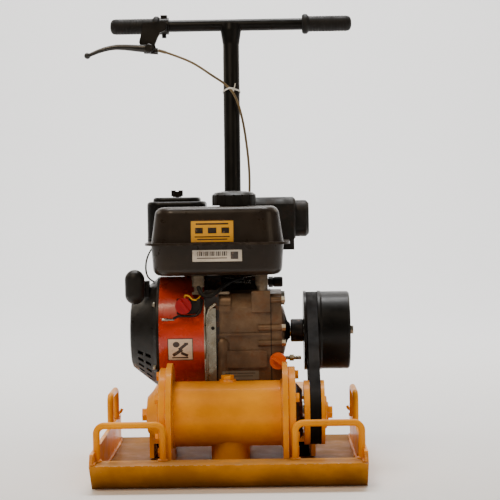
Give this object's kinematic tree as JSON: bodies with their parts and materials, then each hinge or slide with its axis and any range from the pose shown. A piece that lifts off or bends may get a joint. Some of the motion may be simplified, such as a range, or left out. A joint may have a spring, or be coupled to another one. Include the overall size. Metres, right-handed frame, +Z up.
{
  "type": "plate compactor",
  "caption": "Forward vibrating plate compactor: belt-driven eccentric on a welded base plate, small petrol engine on a rubber-mounted bed, and a fold-back T-handle with a throttle lever.",
  "frame": {"origin": "centre of the flat underside of the base plate", "axes": "+Z up, +X towards the drive belt side, -Y towards the front edge, +Y towards the handle"},
  "size_m": [0.4943, 0.6337, 0.78],
  "materials": {
    "yellow_paint": "gloss paint, chipped",
    "red_paint": "gloss paint",
    "tank_paint": "satin paint",
    "black_paint": "satin paint",
    "cast_alloy": "as cast, dusty",
    "zinc": "zinc plated",
    "steel": "ground",
    "black_plastic": "moulded",
    "red_plastic": "moulded",
    "orange_plastic": "moulded",
    "rubber": "matt",
    "white_plastic": "moulded",
    "cable_jacket": "smooth jacket",
    "foam": "open foam",
    "black_iron": "painted black"
  },
  "bodies": {
    "root": {"base_plate": "yellow_paint", "side_walls": "yellow_paint", "lifting_handles": "yellow_paint", "exciter_tube": "yellow_paint", "exciter_supports": "yellow_paint", "exciter_flanges": "yellow_paint", "exciter_fasteners": "yellow_paint", "bearing_cover_left": "yellow_paint", "bearing_cover_right": "yellow_paint", "exciter_bearings": "steel", "drive_belt": "rubber", "engine_bed": "yellow_paint", "rubber_mounts": "rubber", "engine_fasteners": "zinc", "crankcase": "cast_alloy", "side_cover": "cast_alloy", "shaft_seals": "rubber", "cylinder_head": "cast_alloy", "rocker_cover": "black_paint", "spark_plug": "rubber", "blower_housing": "red_paint", "side_shroud": "zinc", "recoil_cover": "black_plastic", "switch_base": "black_plastic", "fuel_tank": "tank_paint", "tank_posts": "cast_alloy", "air_cleaner_base": "black_plastic", "air_filter_element": "foam", "carburettor": "cast_alloy", "muffler": "black_paint", "muffler_guards": "black_paint", "control_bracket": "zinc", "handle_bracket": "yellow_paint"},
    "exciter": {"exciter_pulley": "yellow_paint", "exciter_pulley_bolt": "yellow_paint", "eccentric_shaft": "steel"},
    "clutch_drum": {"clutch_drum": "black_iron", "clutch_bearing": "steel"},
    "crank": {"crankshaft": "steel", "flywheel": "cast_alloy", "clutch_hub": "steel", "clutch_springs": "steel", "clutch_bolt": "zinc", "clutch_collar": "black_iron"},
    "shoe_front": {"clutch_shoe_front": "black_iron"},
    "shoe_rear": {"clutch_shoe_rear": "black_iron"},
    "reel": {"starter_reel": "black_plastic"},
    "grip": {"starter_grip": "black_plastic"},
    "stop_switch": {"stop_switch": "red_plastic"},
    "fuel_cap": {"fuel_cap": "black_plastic"},
    "air_cover": {"air_cleaner_cover": "black_plastic"},
    "wing_nut": {"wing_nut": "black_plastic"},
    "oil_cap": {"oil_filler_cap": "orange_plastic"},
    "throttle_arm": {"throttle_arm": "zinc"},
    "handle": {"handle_frame": "black_paint", "handle_grips": "rubber", "lever_clamp": "black_plastic", "throttle_cable": "cable_jacket", "cable_tie": "white_plastic"},
    "throttle_lever": {"throttle_lever": "black_plastic"}
  },
  "joints": [
    {"name": "handle_fold", "type": "hinge", "parent": "root", "child": "handle", "pos_m": [0, 0.25, 0.06], "axis": [-1, 0, 0], "range_deg": [0, 65], "deforming": ["throttle_cable"]},
    {"name": "throttle_pull", "type": "hinge", "parent": "handle", "child": "throttle_lever", "pos_m": [-0.15, 0.34, 0.716], "axis": [0, 1, 0], "range_deg": [0, 22], "stiffness_Nm_per_rad": 0.6},
    {"name": "throttle_arm_turn", "type": "hinge", "parent": "root", "child": "throttle_arm", "pos_m": [0.005, 0.128, 0.353], "axis": [0, 0, -1], "range_deg": [0, 25]},
    {"name": "crank_spin", "type": "hinge", "parent": "root", "child": "crank", "pos_m": [0, 0.04, 0.218], "axis": [1, 0, 0], "continuous": true},
    {"name": "clutch_drum_spin", "type": "hinge", "parent": "root", "child": "clutch_drum", "pos_m": [0.134, 0.04, 0.218], "axis": [1, 0, 0], "continuous": true},
    {"name": "exciter_spin", "type": "hinge", "parent": "root", "child": "exciter", "pos_m": [-0.003, -0.11, 0.101], "axis": [1, 0, 0], "continuous": true},
    {"name": "shoe_front_slide", "type": "slide", "parent": "crank", "child": "shoe_front", "axis": [0, -1, 0], "range_m": [0, 0.0012], "stiffness_N_per_m": 4000},
    {"name": "shoe_rear_slide", "type": "slide", "parent": "crank", "child": "shoe_rear", "axis": [0, 1, 0], "range_m": [0, 0.0012], "stiffness_N_per_m": 4000},
    {"name": "starter_pull", "type": "slide", "parent": "root", "child": "grip", "axis": [0, -1, 0], "range_m": [0, 0.5], "stiffness_N_per_m": 20},
    {"name": "reel_turn", "type": "hinge", "parent": "root", "child": "reel", "pos_m": [-0.135, 0.04, 0.218], "axis": [1, 0, 0], "range_deg": [0, 624]},
    {"name": "stop_switch_turn", "type": "hinge", "parent": "root", "child": "stop_switch", "pos_m": [-0.073, -0.07, 0.2684], "axis": [0, 1, 0], "range_deg": [0, 60]},
    {"name": "fuel_cap_lift", "type": "slide", "parent": "root", "child": "fuel_cap", "axis": [0, 0, 1], "range_m": [0, 0.06]},
    {"name": "air_cover_lift", "type": "slide", "parent": "root", "child": "air_cover", "axis": [0, 0, 1], "range_m": [0, 0.09]},
    {"name": "wing_nut_turn", "type": "hinge", "parent": "air_cover", "child": "wing_nut", "pos_m": [-0.092, 0.145, 0.446], "axis": [0, 0, 1], "continuous": true},
    {"name": "oil_cap_turn", "type": "hinge", "parent": "root", "child": "oil_cap", "pos_m": [0.077, -0.054, 0.177], "axis": [0, -1, 0], "continuous": true}
  ],
  "couplings": [
    {"joint": "throttle_arm_turn", "follows": "throttle_pull", "ratio": 1.136},
    {"joint": "exciter_spin", "follows": "clutch_drum_spin", "ratio": 1.3146},
    {"joint": "shoe_rear_slide", "follows": "shoe_front_slide", "ratio": 1},
    {"joint": "reel_turn", "follows": "starter_pull", "rad_per_m": 21.74}
  ]
}
